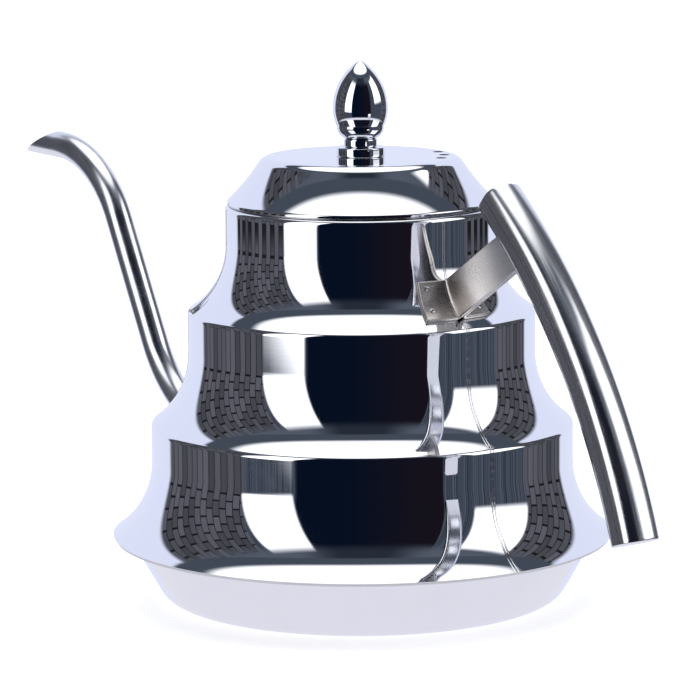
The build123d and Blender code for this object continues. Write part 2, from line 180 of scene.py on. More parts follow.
walls = (turn.step(97, 99) + turn.step(-66, -68)).blend(smoke, bricks)
sides = (turn.step(43.5, 44.5) + turn.step(-35, -38)).blend(dark, walls)

# The left softbox leans, and its lower edge slopes.
box_soft = 1.2
left_turn = turn - lift * 0.12
left_edge = lift + (turn + 37) * 0.06
left_box = left_turn.within(-67, -37, box_soft) * left_edge.step(-11.6, -9.0) * lift.step(57, 52)
right_box = turn.within(62, 98, box_soft) * lift.step(3, 10) * lift.step(50, 46)
boxes = (left_box + right_box).blend(sides, (1.7, 1.7, 1.75))
ceiling_grey = abs(turn).step(15, 50).blend((0.022, 0.028, 0.042), (0.095, 0.11, 0.145))
ceiling = lift.step(42, 54).blend(boxes, ceiling_grey)
sweep_mask = turn.step(134, 138) + turn.step(-127, -131)
sweep = sweep_mask.blend(ceiling, (0.79, 0.83, 1.0))

# The panel hangs a little behind the kettle. Nearness to its centre is 1 there and falls outwards.
panel_up, panel_behind = 0.978, 0.208
near_panel = rise * panel_up - to_front * panel_behind
panel_rim = near_panel.step(0.755, 0.775).blend(sweep, (0.06, 0.075, 0.1))
overhead = near_panel.step(0.84, 0.88).blend(panel_rim, (1.4, 1.4, 1.43))
table = lift.step(-22, -26).blend(overhead, (0.84, 0.84, 0.92))
seen = room.node("ShaderNodeLightPath").out("Is Camera Ray")
backdrop = seen.blend(table, (1.0, 1.0, 1.0))
light = room.node("ShaderNodeBackground", inputs={"Color": backdrop, "Strength": 1.0})
light.shown_by("ShaderNodeOutputWorld")

# The floor is a white table top, wider than any view of it. The steel sees the room's white floor
# instead of it, so it only carries the kettle's soft shadow.

floor_reach = 6.0
floor_mesh = bmesh.new()
bmesh.ops.create_circle(floor_mesh, cap_ends=True, segments=96, radius=floor_reach)
floor_data = bpy.data.meshes.new("floor")
floor_mesh.to_mesh(floor_data)
floor_mesh.free()
floor = bpy.data.objects.new("floor", floor_data)
bpy.context.scene.collection.objects.link(floor)
floor.visible_glossy = False
white_top = bpy.data.materials.new("white_table")
white_top.use_nodes = True
white_top.node_tree.nodes.clear()
paint = Shade(white_top.node_tree)
top_light = paint.node("ShaderNodeEmission", inputs={"Color": (1, 1, 1, 1), "Strength": 0.66})
top_paint = paint.node("ShaderNodeBsdfDiffuse", inputs={"Color": (0.9, 0.9, 0.9, 1)})
top_sum = paint.node("ShaderNodeAddShader", inputs={0: top_light, 1: top_paint})
top_sum.shown_by("ShaderNodeOutputMaterial")
floor.data.materials.append(white_top)

# ------------------------------------------------------------------ body shell
# One sheet of stainless steel, 0.6 mm thick: a welded tube pressed into three tiers, its neck
# turned in to a ledge that carries the lid, and its lower edge spread into a wide skirt.

sheet = 0.6 * mm
tier_radii = [41.3 * mm, 52.9 * mm, 64.4 * mm, 76.5 * mm]
tier_tops = [108.9 * mm, 75.9 * mm, 43.0 * mm]
tier_feet = [88.8 * mm, 54.3 * mm, 20.1 * mm]
mouth_height = 121.1 * mm
mouth_radius = tier_radii[0] - 3.5 * mm
mouth_bend = 1.6 * mm
mouth_lip = 3.6 * mm
lip_round = 2 * sheet
crease_round = 0.8 * mm
turns = 224
crease_angle = 35
merge_reach = 0.002 * mm


class Line:
    """A line drawn on from a start with straight runs and arcs, in the XZ or the XY plane.

    Angles are in degrees and turn from +X towards the plane's second axis.
    """

    def __init__(self, a, b, axis=(0, -1, 0)):
        self.mesh, self.axis = bmesh.new(), axis
        self.start = self.tip = self.mesh.verts.new(self.at(a, b))

    def at(self, a, b):
        return Vector((a, 0, b)) if self.axis[1] else Vector((a, b, 0))

    def to(self, a, b, cuts=0):
        """Straight run to a point, in equal lengths."""
        stride = (self.at(a, b) - self.tip.co) / (cuts + 1)
        for _ in range(cuts + 1):
            self.tip = bmesh.ops.extrude_vert_indiv(self.mesh, verts=[self.tip])["verts"][0]
            self.tip.co += stride
        return self

    def arc(self, a, b, angle, steps=12):
        """Arc about a centre."""
        made = bmesh.ops.spin(
            self.mesh,
            geom=[self.tip],
            cent=self.at(a, b),
            axis=self.axis,
            angle=radians(angle),
            steps=steps,
        )
        self.tip = made["geom_last"][0]
        return self

    def rounded(self, *corners, radius, segments=5):
        """Rounds the corners nearest to some points."""
        for corner in corners:
            near = min(self.mesh.verts, key=lambda v: (v.co - self.at(*corner)).length)
            bmesh.ops.bevel(
                self.mesh,
                geom=[near],
                offset=radius,
                segments=segments,
                profile=0.5,
                affect="VERTICES",
                material=-1,
            )
        return self

    def closed(self):
        """Joins the end to the start."""
        self.mesh.edges.new((self.tip, self.start))
        return self

    def turned(self, thickness=0.0, steps=turns):
        """The surface that the line makes when it is turned about the kettle's axis."""
        spun(self.mesh, (0, 0, 0), (0, 0, 1), steps)
        return walled(self.mesh, thickness) if thickness else self.mesh


def spun(mesh, centre, axis, steps):
    """Turns an outline right round an axis, closes its seam and faces it outwards."""
    bmesh.ops.spin(
        mesh,
        geom=mesh.verts[:] + mesh.edges[:],
        cent=centre,
        axis=axis,
        angle=2 * pi,
        steps=steps,
        use_merge=True,
    )
    bmesh.ops.remove_doubles(mesh, verts=mesh.verts[:], dist=merge_reach)
    bmesh.ops.recalc_face_normals(mesh, faces=mesh.faces[:])


def walled(mesh, thickness):
    """Gives a skin its thickness on the inner side, whose faces take the second material."""
    skin = set(mesh.faces)
    bmesh.ops.solidify(mesh, geom=mesh.faces[:], thickness=thickness)
    for face in mesh.faces:
        face.material_index = 0 if face in skin else 1
    return mesh


def piece(name, mesh, finishes, body, *nodes, slot="polished_steel", crease=crease_angle):
    """Makes a finished bmesh a piece that rides a body and stands for CAD nodes."""
    data = bpy.data.meshes.new(name)
    mesh.to_mesh(data)
    mesh.free()
    data.shade_smooth()
    data.set_sharp_from_angle(angle=radians(crease))
    for finish in finishes:
        data.materials.append(finish)
    made = bpy.data.objects.new(name, data)
    bpy.context.scene.collection.objects.link(made)
    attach(made, body)
    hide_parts(*nodes)
    return made


class Steel:
    """A steel finish: a metal shader whose colour, roughness and normal vary with place."""

    def __init__(self, name, colour, roughness):
        self.material = bpy.data.materials.new(name)
        self.material.use_nodes = True
        tree = self.material.node_tree
        tree.nodes.clear()
        self.maths = Shade(tree)
        self.metal = tree.nodes.new("ShaderNodeBsdfPrincipled")
        self.metal.inputs["Base Color"].default_value = (*colour, 1)
        self.metal.inputs["Metallic"].default_value = 1
        self.metal.inputs["Roughness"].default_value = roughness
        Shade(tree, self.metal.outputs[0]).shown_by("ShaderNodeOutputMaterial")
        self.place = self.maths.node("ShaderNodeTexCoord").out("Object")
        parts = self.maths.node("ShaderNodeSeparateXYZ", inputs={0: self.place})
        self.x, self.y, self.z = parts.out("X"), parts.out("Y"), parts.out("Z")

    def feed(self, name, value):
        self.maths.tree.links.new(value.socket, self.metal.inputs[name])
        return self

    def noise(self, place, scale, detail=2.0, roughness=0.5):
        inputs = {"Vector": place, "Scale": scale, "Detail": detail, "Roughness": roughness}
        return self.maths.node("ShaderNodeTexNoise", inputs=inputs)

    def vector(self, x, y, z):
        return self.maths.node("ShaderNodeCombineXYZ", inputs={0: x, 1: y, 2: z})

    def bumps(self, *layers):
        """Stacks bumps, each a height and its depth in metres, and feeds the normal."""
        normal = None
        for height, depth in layers:
            inputs = {"Height": height, "Distance": depth, "Strength": 1.0}
            if normal:
                inputs["Normal"] = normal
            normal = self.maths.node("ShaderNodeBump", inputs=inputs)
        return self.feed("Normal", normal)


def polished(name, colour, roughness, smudge):
    """Mirror polish: slight wander of the sheet, fine buffing lines round it, faint smudges."""
    finish = Steel(name, colour, roughness)
    smear = finish.noise(finish.place, 38.0, 4.0, 0.6)
    around = finish.vector(finish.x * 60, finish.y * 60, finish.z * 2600)
    lines = finish.noise(around, 1.0, 2.0)
    finish.feed("Roughness", smear.step(0.45, 0.8, roughness, roughness + smudge) + lines * 0.012)
    finish.feed("Base Color", smear.blend(colour, [0.97 * c for c in colour]))
    finish.bumps((finish.noise(finish.place, 26.0, 1.0), 0.05 * mm), (lines, 0.0003 * mm))
    return finish.material


mirror = polished("mirror_steel", (0.88, 0.89, 0.93), 0.015, 0.05)

# Inside, the sheet keeps the mill's dull finish with its drawing marks.
mill = Steel("mill_finish_steel", (0.66, 0.66, 0.67), 0.3)
drawn = mill.noise(mill.vector(mill.x * 90, mill.y * 90, mill.z * 900), 1.0, 3.0)
mill.feed("Roughness", drawn.step(0.3, 0.7, 0.24, 0.4))
mill.feed("Base Color", drawn.blend((0.62, 0.62, 0.63), (0.72, 0.72, 0.73)))
mill.bumps((drawn, 0.01 * mm))


def flare_radius(tier):
    """Radius of the concave flare that leaves a tier's wall upright."""
    step = tier_radii[tier + 1] - tier_radii[tier]
    drop = tier_tops[tier] - tier_feet[tier]
    return (step**2 + drop**2) / (2 * step)


def body_side(line):
    """The neck, the tiers and the skirt, from the mouth's bend down."""
    for tier, foot in enumerate(tier_feet):
        line.to(tier_radii[tier], tier_tops[tier], cuts=10)
        radius = flare_radius(tier)
        flare_turn = degrees(asin((tier_tops[tier] - foot) / radius))
        line.arc(tier_radii[tier] + radius, tier_tops[tier], flare_turn, 20)
    creases = [(tier_radii[tier], tier_feet[tier - 1]) for tier in (1, 2)]
    return line.rounded(*creases, radius=crease_round)


shell = Line(mouth_radius, mouth_height - mouth_lip)
shell.to(mouth_radius, mouth_height - lip_round, cuts=2)
shell.arc(mouth_radius + lip_round, mouth_height - lip_round, -90, 6)
shell.to(tier_radii[0] - mouth_bend, mouth_height)
shell.arc(tier_radii[0] - mouth_bend, mouth_height - mouth_bend, -90, 8)
body_side(shell)
piece("body", shell.turned(sheet), [mirror, mill.material], "kettle", "body_shell")

# ------------------------------------------------------------------ body seam
# The weld that closed the sheet into a tube before pressing. It was ground nearly flush, and
# shows as a pair of fine ridges down the handle side of every tier.

seam_width = 1.5 * mm
ridge_height = 0.07 * mm
seam_root = 0.03 * mm
seam_steps = 16


def facing(mesh, face, way):
    """Turns a whole skin over where one of its faces looks against a direction."""
    mesh.normal_update()
    if face.normal.dot(way) < 0:
        bmesh.ops.reverse_faces(mesh, faces=mesh.faces[:])
        mesh.normal_update()


weld = Steel("weld_steel", (0.62, 0.62, 0.64), 0.2)
ripple = weld.noise(weld.vector(weld.x * 200, weld.y * 200, weld.z * 900), 1.0, 2.0)
weld.feed("Roughness", ripple.step(0.35, 0.65, 0.1, 0.24))
weld.feed("Base Color", ripple.blend((0.6, 0.6, 0.62), (0.82, 0.82, 0.85)))
weld.bumps((ripple, 0.04 * mm))

seam = body_side(Line(tier_radii[0], mouth_height - mouth_bend)).mesh
half_turn = seam_width / 2 / tier_radii[1]
bmesh.ops.rotate(seam, verts=seam.verts[:], matrix=Matrix.Rotation(-half_turn, 3, "Z"))
bmesh.ops.spin(
    seam,
    geom=seam.verts[:] + seam.edges[:],
    cent=(0, 0, 0),
    axis=(0, 0, 1),
    angle=2 * half_turn,
    steps=seam_steps,
)
facing(seam, seam.faces[:][0], (1, 0, 0))
for vert in seam.verts:
    across = atan2(vert.co.y, vert.co.x) / half_turn
    vert.co += vert.normal * (ridge_height * abs(sin(pi * across)) - seam_root)
bmesh.ops.solidify(seam, geom=seam.faces[:], thickness=2 * seam_root)
piece("body_seam_weld", seam, [weld.material], "kettle", crease=60)

# ------------------------------------------------------------------ base pan
# A shallow pan pressed from the same sheet, lapped under the skirt and welded to it. It is
# polished like the body, but hard use on a hob has dulled it a little.

pan_flat = 56.0 * mm
pan_corner = 7.3 * mm
pan_lean = radians(30)
skirt_x = tier_radii[2] + flare_radius(2)
skirt_z = tier_tops[2]
lap = flare_radius(2) + 2 * sheet


def lowest(mesh):
    """The lowest face of a mesh."""
    return min(mesh.faces, key=lambda face: face.calc_center_median().z)


pan_polish = polished("pan_steel", (0.86, 0.86, 0.9), 0.06, 0.12)
corner_x = pan_flat + pan_corner * cos(pan_lean)
corner_z = pan_corner - pan_corner * sin(pan_lean)

# The leaning wall's face stops at the lap's face, which lies two sheets under the skirt's.
to_skirt = Vector((skirt_x - corner_x, skirt_z - corner_z))
reach = to_skirt.dot(Vector((sin(pan_lean), cos(pan_lean))))
wall = reach - sqrt(reach**2 - (to_skirt.length_squared - lap**2))
wall_x, wall_z = corner_x + wall * sin(pan_lean), corner_z + wall * cos(pan_lean)
wall_turn = degrees(atan2(skirt_z - wall_z, skirt_x - wall_x))
skirt_turn = degrees(asin((tier_tops[2] - tier_feet[2]) / flare_radius(2)))

pan = Line(0, 0)
pan.to(pan_flat, 0, cuts=30)
pan.arc(pan_flat, pan_corner, 90 - degrees(pan_lean), 12)
pan.to(wall_x, wall_z, cuts=16)
pan.arc(skirt_x, skirt_z, skirt_turn - wall_turn, 6)
pan_mesh = pan.turned()
facing(pan_mesh, lowest(pan_mesh), (0, 0, -1))
piece(
    "base_pan_pressing",
    walled(pan_mesh, sheet),
    [pan_polish, mill.material],
    "kettle",
    "base_pan",
    slot="pan_steel",
)

# ------------------------------------------------------------------ spout
# A thin swan-neck tube, bent twice, its end cut on a slant to a pouring beak and its root
# welded into the lowest tier. The weld is a small fillet, buffed.

tube_radius = 4.4 * mm
tube_wall = 0.6 * mm
root_out, root_z = 60.0 * mm, 35.82 * mm
joint_z = 36.6 * mm
root_rise, beak_rise = 10.0, 1.5
elbow_out, elbow_z = 103.5 * mm, 43.49 * mm
crook_out, crook_z = 146.1 * mm, 123.6 * mm
tip_out, tip_z = 189.4 * mm, 124.73 * mm
elbow_bend, crook_bend = 47.0 * mm, 40.0 * mm
beak_cut = radians(25)
fillet_radius = 0.9 * mm
tube_sides = 64

spout_polish = Steel("spout_steel", (0.82, 0.83, 0.87), 0.16)
run_marks = spout_polish.noise(spout_polish.place, 130.0, 3.0)
spout_polish.feed("Roughness", run_marks.step(0.35, 0.65, 0.2, 0.25))
spout_polish.feed("Base Color", run_marks.blend((0.82, 0.83, 0.87), (0.87, 0.88, 0.92)))
spout_polish.bumps((spout_polish.noise(spout_polish.place, 60.0, 1.0), 0.04 * mm))

tube = bmesh.new()
bmesh.ops.create_circle(tube, segments=tube_sides, radius=tube_radius)
place = Vector((-root_out, 0, root_z))
heading = radians(180 - root_rise)
bmesh.ops.transform(
    tube,
    verts=tube.verts[:],
    matrix=Matrix.Translation(place) @ Matrix.Rotation(pi / 2 - heading, 4, "Y"),
)
ring = tube.edges[:]


def forward(length, steps):
    """Draws the tube straight on."""
    global place, ring
    stride = Vector((cos(heading), 0, sin(heading))) * (length / steps)
    for _ in range(steps):
        made = bmesh.ops.extrude_edge_only(tube, edges=ring)["geom"]
        ring = [item for item in made if isinstance(item, bmesh.types.BMEdge)]
        ends = {vert for edge in ring for vert in edge.verts}
        bmesh.ops.translate(tube, verts=list(ends), vec=stride)
        place = place + stride


def bend(radius, angle, steps):
    """Bends the tube by an angle in degrees, positive towards its own left."""
    global place, heading, ring
    side = 1 if angle > 0 else -1
    centre = place + Vector((-sin(heading), 0, cos(heading))) * radius * side
    rim = ring + list({vert for edge in ring for vert in edge.verts})
    made = bmesh.ops.spin(
        tube,
        geom=rim,
        cent=centre,
        axis=(0, -1, 0),
        angle=radians(angle),
        steps=steps,
    )
    ring = [item for item in made["geom_last"] if isinstance(item, bmesh.types.BMEdge)]
    place = centre + Matrix.Rotation(-radians(angle), 3, "Y") @ (place - centre)
    heading += radians(angle)


riser_rise = degrees(atan2(crook_z - elbow_z, crook_out - elbow_out))
elbow_turn, crook_turn = riser_rise - root_rise, riser_rise - beak_rise
elbow_run = elbow_bend * tan(radians(elbow_turn / 2))
crook_run = crook_bend * tan(radians(crook_turn / 2))
root_length = hypot(elbow_out - root_out, elbow_z - root_z)
riser_length = hypot(crook_out - elbow_out, crook_z - elbow_z)
beak_length = hypot(tip_out - crook_out, tip_z - crook_z)
forward(root_length - elbow_run, 8)
bend(elbow_bend, -elbow_turn, 40)
forward(riser_length - elbow_run - crook_run, 24)
bend(crook_bend, crook_turn, 44)
forward(beak_length - crook_run + tube_radius, 16)

# The root is cut off inside the body's sheet, and the beak on its slant.
root_lean = asin((tier_tops[2] - joint_z) / flare_radius(2))
root_face = Vector((-cos(root_lean), 0, sin(root_lean)))
joint = Vector((-(skirt_x - flare_radius(2) * cos(root_lean)), 0, joint_z))
root_point = joint - root_face * sheet / 2
beak_face = Vector((-sin(beak_cut), 0, cos(beak_cut)))
beak_point = Vector((-tip_out, 0, tip_z - tube_radius))
for point, normal in ((root_point, -root_face), (beak_point, beak_face)):
    bmesh.ops.bisect_plane(
        tube,
        geom=tube.verts[:] + tube.edges[:] + tube.faces[:],
        plane_co=point,
        plane_no=normal,
        clear_outer=True,
    )
bmesh.ops.recalc_face_normals(tube, faces=tube.faces[:])
facing(tube, lowest(tube), (0, 0, -1))
spout_finishes = [spout_polish.material, mill.material]
piece("spout", walled(tube, tube_wall), spout_finishes, "kettle", "spout_tube")

fillet = bmesh.new()
bmesh.ops.create_circle(fillet, segments=14, radius=fillet_radius)
spout_axis = Vector((-cos(radians(root_rise)), 0, sin(radians(root_rise))))
bmesh.ops.translate(fillet, verts=fillet.verts[:], vec=joint + Vector((0, tube_radius, 0)))
spun(fillet, joint, spout_axis, 72)
piece("spout_root_weld", fillet, [weld.material], "kettle", crease=60)

# ------------------------------------------------------------------ handle
# Two half shells of 0.8 mm sheet, pressed to a D section and bent to one arc, welded along both
# sides, capped at the ends and buffed lengthwise to a soft shine.

handle_x, handle_z = -61.8 * mm, -24.2 * mm
handle_arc = 201.5 * mm
handle_low, handle_high = 18.2, 49.6
handle_half_depth = 5.3 * mm
handle_half_width = 6.5 * mm
handle_crown = 2.0 * mm
outer_round, inner_round = 4.6 * mm, 2.4 * mm
handle_sheet = 0.8 * mm
handle_seam = 5.4 * mm
seam_gap = 0.05 * mm
cap_thickness, cap_round = 1.2 * mm, 0.6 * mm

buffed = Steel("buffed_steel", (0.84, 0.86, 0.9), 0.14)
out_x, out_z = buffed.x - handle_x, buffed.z - handle_z
spoke = buffed.maths.maths("SQRT", out_x * out_x + out_z * out_z)
sweep_place = buffed.maths.maths("ARCTAN2", out_z, out_x)
grain = buffed.noise(buffed.vector(spoke * 2600, buffed.y * 2600, sweep_place * 9), 1.0, 3.0)
wear = buffed.noise(buffed.place, 60.0, 4.0, 0.6)
buffed.feed("Roughness", grain.step(0.3, 0.7, 0.15, 0.25) + wear.step(0.5, 0.75, 0, 0.06))
buffed.feed("Base Color", grain.blend((0.8, 0.81, 0.84), (0.93, 0.94, 0.96)))
buffed.bumps((grain, 0.0012 * mm), (buffed.noise(buffed.place, 45.0, 1.0), 0.06 * mm))

inner_edge = handle_arc - handle_half_depth
outer_edge = handle_arc + handle_half_depth
crown_radius = (handle_half_width**2 + handle_crown**2) / (2 * handle_crown)
crown_x = outer_edge - crown_radius
round_y = handle_half_width - outer_round
round_x = crown_x + sqrt((crown_radius - outer_round) ** 2 - round_y**2)
round_turn = 90 - degrees(atan2(round_y, round_x - crown_x))
flat_turn = 90 - round_turn
seam_x = inner_edge + handle_seam
handle_centre = Vector((handle_x, 0, handle_z))


def channel_line(line):
    """The outer half of the section, from one seam round to the other."""
    x = handle_x
    line.to(x + round_x, -handle_half_width, cuts=2)
    line.arc(x + round_x, -round_y, round_turn, 16)
    line.arc(x + crown_x, 0, 2 * flat_turn, 12)
    line.arc(x + round_x, round_y, round_turn, 16)
    return line.to(x + seam_x + seam_gap, handle_half_width, cuts=2)


def plate_line(line):
    """The inner half of the section, from one seam round to the other."""
    x = handle_x
    y = handle_half_width - inner_round
    line.to(x + inner_edge + inner_round, handle_half_width, cuts=2)
    line.arc(x + inner_edge + inner_round, y, 90, 12)
    line.to(x + inner_edge, -y, cuts=8)
    line.arc(x + inner_edge + inner_round, -y, 90, 12)
    return line.to(x + seam_x - seam_gap, -handle_half_width, cuts=2)


def to_angle(mesh, angle):
    """Turns a section from the handle's level up to an angle of its arc."""
    bmesh.ops.translate(mesh, verts=mesh.verts[:], vec=(0, 0, handle_z))
    bmesh.ops.rotate(
        mesh,
        verts=mesh.verts[:],
        cent=handle_centre,
        matrix=Matrix.Rotation(-radians(angle), 3, "Y"),
    )
    return mesh


def half_shell(line, way):
    """Sweeps half the section along the handle's arc and gives it the sheet's thickness.

    way is 1 for the half outside the arc and -1 for the half inside it.
    """
    mesh = to_angle(line.mesh, handle_low)
    bmesh.ops.spin(
        mesh,
        geom=mesh.verts[:] + mesh.edges[:],
        cent=handle_centre,
        axis=(0, -1, 0),
        angle=radians(handle_high - handle_low),
        steps=96,
    )
    spokes = {face: face.calc_center_median() - handle_centre for face in mesh.faces}
    crest = max(spokes, key=lambda face: spokes[face].length * way)
    facing(mesh, crest, spokes[crest] * way)
    return walled(mesh, handle_sheet)


level = (0, 0, 1)
side = handle_half_width
channel = half_shell(channel_line(Line(handle_x + seam_x + seam_gap, -side, level)), 1)
plate = half_shell(plate_line(Line(handle_x + seam_x - seam_gap, side, level)), -1)
for name, mesh, node in (
    ("handle_outer_shell", channel, "handle_outer_channel"),
    ("handle_inner_shell", plate, "handle_inner_plate"),
):
    piece(name, mesh, [buffed.material, mill.material], "kettle", node, slot="satin_steel")

for name, angle, rise_to in (("top", handle_high, 1), ("bottom", handle_low, -1)):
    outline = plate_line(channel_line(Line(handle_x + seam_x - seam_gap, -side, level)))
    cap = outline.mesh
    bmesh.ops.remove_doubles(cap, verts=cap.verts[:], dist=merge_reach)
    base = bmesh.ops.contextual_create(cap, geom=cap.edges[:])["faces"]
    made = bmesh.ops.extrude_face_region(cap, geom=base)["geom"]
    rim = [item for item in made if isinstance(item, bmesh.types.BMEdge)]
    ends = [item for item in made if isinstance(item, bmesh.types.BMVert)]
    bmesh.ops.translate(cap, verts=ends, vec=(0, 0, rise_to * cap_thickness))
    bmesh.ops.bevel(
        cap,
        geom=rim,
        offset=cap_round,
        segments=4,
        profile=0.5,
        affect="EDGES",
        material=-1,
    )
    bmesh.ops.recalc_face_normals(cap, faces=cap.faces[:])
    piece(
        f"handle_{name}_cap_disc",
        to_angle(cap, angle),
        [buffed.material],
        "kettle",
        f"handle_{name}_cap",
        slot="satin_steel",
    )

# ------------------------------------------------------------------ bracket
# Two folded plates of 1.2 mm steel, back to back: the web runs up into the handle, and the
# flanges wrap the neck's flare, each held by two spot welds. Brushed, with painted reflection.

plate_sheet = 1.2 * mm
fold_radius = 1.0 * mm
flange_low, flange_high = 91.3 * mm, 102.4 * mm
flange_sweep = radians(13.7)
web_rise = radians(32.5)
web_length = 38.0 * mm
fold_place = 91.2 * mm
plate_bevel = 0.28 * mm
flange_cells, fold_cells, web_cells, plate_rows = 12, 10, 20, 16

# Painted reflection of the room: the flanges and the fold are darkest. The web pales out of them,
# and is grey near the handle.
web_along = Vector((cos(web_rise), 0, sin(web_rise)))
brushed = Steel("brushed_steel", (0.7, 0.67, 0.65), 0.3)
along_web = brushed.x * web_along.x + brushed.z * web_along.z
across_web = brushed.z * web_along.x - brushed.x * web_along.z
brush_place = brushed.vector(along_web * 2400, across_web * 4200, brushed.y * 2400)
brush = brushed.noise(brush_place, 1.0, 2.0)
from_fold = along_web - fold_place
# Painted reflection down the web: dull brown by the fold, a bright warm band, then grey-blue.
painted_reflection = from_fold.step(4 * mm, 14 * mm).blend((0.56, 0.52, 0.49), (0.88, 0.83, 0.78))
painted_reflection = from_fold.step(19 * mm, 27 * mm).blend(painted_reflection, (0.6, 0.61, 0.63))
haze = brushed.noise(brushed.place, 160.0, 2.0)
# Random wear haze laid over the painted reflection.
wear_and_reflection = (haze.step(0.35, 0.7) * 0.35).blend(painted_reflection, (0.78, 0.76, 0.75))
brushed.feed("Base Color", (brush.step(0.35, 0.7) * 0.12).blend(wear_and_reflection, (0.9, 0.88, 0.87)))
brushed.feed("Roughness", brush.step(0.3, 0.7, 0.25, 0.36))
brushed.bumps((brush, 0.0002 * mm))

neck_flare = flare_radius(0)


def on_neck(share):
    """Point and outward direction on the neck's flare, from the flange's foot at 0 to its top."""
    z = flange_low + (flange_high - flange_low) * share
    lean = asin((tier_tops[0] - z) / neck_flare)
    x = tier_radii[0] + neck_flare * (1 - cos(lean))
    return Vector((x, 0, z)), Vector((cos(lean), 0, sin(lean)))


fold_start = plate_sheet + fold_radius
for turn_to, name in ((-1, "near"), (1, "far")):
    folded = bmesh.new()
    cells = flange_cells + fold_cells + web_cells
    bmesh.ops.create_grid(folded, x_segments=cells, y_segments=plate_rows, size=1)
    for vert in folded.verts:
        station = round((vert.co.x + 1) / 2 * cells)
        foot, lean = on_neck((vert.co.y + 1) / 2)
        base = foot + lean * plate_sheet
        if station <= flange_cells:
            near = station / flange_cells
            angle = flange_sweep * (1 - near) + fold_start / base.x * near
            spot = base
        elif station <= flange_cells + fold_cells:
            bend_turn = (station - flange_cells) / fold_cells * pi / 2
            angle = (fold_start - fold_radius * sin(bend_turn)) / base.x
            spot = base + web_along * fold_radius * (1 - cos(bend_turn))
        else:
            share = (station - flange_cells - fold_cells) / web_cells
            angle = plate_sheet / base.x
            spot = base + web_along * (fold_radius + (web_length - fold_radius) * share)
        if station > flange_cells + fold_cells:
            vert.co = (spot.x, turn_to * plate_sheet, spot.z)
        else:
            vert.co = (spot.x * cos(angle), turn_to * spot.x * sin(angle), spot.z)
    web_face = max(folded.faces, key=lambda face: face.calc_center_median().x)
    facing(folded, web_face, (0, turn_to, 0))
    bmesh.ops.solidify(folded, geom=folded.faces[:], thickness=plate_sheet)
    made = piece(
        f"bracket_{name}_plate",
        folded,
        [brushed.material],
        "kettle",
        f"bracket_plate_{name}",
        slot="brushed_steel",
    )
    soften = made.modifiers.new("soft_edges", "BEVEL")
    soften.width = plate_bevel
    soften.segments = 2
    soften.limit_method = "ANGLE"
    soften.angle_limit = radians(50)

weld_radius = 0.95 * mm
weld_ridge = 0.16 * mm
weld_sweep = 10.4
weld_shares = (0.216, 0.784)

spots = bmesh.new()
for share in weld_shares:
    for around in (-weld_sweep, weld_sweep):
        foot, lean = on_neck(share)
        nugget = Line(0, weld_ridge * 0.25)
        nugget.to(weld_radius * 0.45, weld_ridge * 0.3, cuts=1)
        nugget.to(weld_radius * 0.75, weld_ridge)
        nugget.to(weld_radius, -weld_ridge * 0.5)
        nugget.to(0, -weld_ridge)
        button = nugget.turned(steps=28)
        tilt = Vector((0, 0, 1)).rotation_difference(lean).to_matrix().to_4x4()
        stand = Matrix.Translation(foot + lean * plate_sheet) @ tilt
        matrix = Matrix.Rotation(radians(around), 4, "Z") @ stand
        bmesh.ops.transform(button, verts=button.verts[:], matrix=matrix)
        button_data = bpy.data.meshes.new("nugget")
        button.to_mesh(button_data)
        button.free()
        spots.from_mesh(button_data)
        bpy.data.meshes.remove(button_data)
piece(
    "spot_weld_nuggets",
    spots,
    [weld.material],
    "kettle",
    "bracket_welds",
    slot="brushed_steel",
    crease=70,
)

# ------------------------------------------------------------------ lid
# A pressed cover with a flat top, a round shoulder and a hollow flank, hemmed at its rim. Three
# steam vents are pierced near the edge of the flat.

lid_rim = 40.6 * mm
lid_seat = 121.6 * mm
lid_top = 135.6 * mm
lid_flat = 27.6 * mm
lid_shoulder = 4.0 * mm
shoulder_turn = 57.0
lid_hem = 0.7 * mm
hem_round = 0.25 * mm
vent_radius = 1.6 * mm
vent_circle = 25.3 * mm
vent_first, vent_step, vent_count = 36.8, 19.0, 3

shoulder_z = lid_top - lid_shoulder
leaning = radians(90 - shoulder_turn)
bend_x, bend_z = lid_flat + lid_shoulder * cos(leaning), shoulder_z + lid_shoulder * sin(leaning)
step_x, step_z = lid_rim - bend_x, lid_seat + lid_hem - bend_z
flank = (step_x**2 + step_z**2) / (2 * (cos(leaning) * step_x + sin(leaning) * step_z))
flank_x, flank_z = bend_x + flank * cos(leaning), bend_z + flank * sin(leaning)
flank_turn = degrees(atan2(flank_z - lid_seat - lid_hem, flank_x - lid_rim)) - 90 + shoulder_turn

cover = Line(0, lid_top)
cover.to(lid_flat, lid_top, cuts=20)
cover.arc(lid_flat, shoulder_z, -shoulder_turn, 16)
cover.arc(flank_x, flank_z, flank_turn, 24)
cover.to(lid_rim, lid_seat, cuts=1)
cover.rounded((lid_rim, lid_seat + lid_hem), radius=hem_round, segments=3)
lid_piece = piece("lid", cover.turned(sheet), [mirror, mill.material], "lid", "lid_cover")


def pierced(target, cutter):
    """Cuts a closed mesh out of a finished piece."""
    tool_data = bpy.data.meshes.new("cutter")
    cutter.to_mesh(tool_data)
    cutter.free()
    tool = bpy.data.objects.new("cutter", tool_data)
    bpy.context.scene.collection.objects.link(tool)
    cut = target.modifiers.new("cut", "BOOLEAN")
    cut.operation, cut.solver, cut.object = "DIFFERENCE", "EXACT", tool
    graph = bpy.context.evaluated_depsgraph_get()
    data = bpy.data.meshes.new_from_object(target.evaluated_get(graph))
    target.modifiers.remove(cut)
    bpy.data.objects.remove(tool)
    data.set_sharp_from_angle(angle=radians(crease_angle))
    target.data = data


punch = bmesh.new()
for vent in range(vent_count):
    around = radians(vent_first + vent_step * vent)
    spot = Vector((vent_circle * cos(around), vent_circle * sin(around), lid_top))
    bmesh.ops.create_cone(
        punch,
        cap_ends=True,
        segments=40,
        radius1=vent_radius,
        radius2=vent_radius,
        depth=6 * sheet,
        matrix=Matrix.Translation(spot),
    )
pierced(lid_piece, punch)

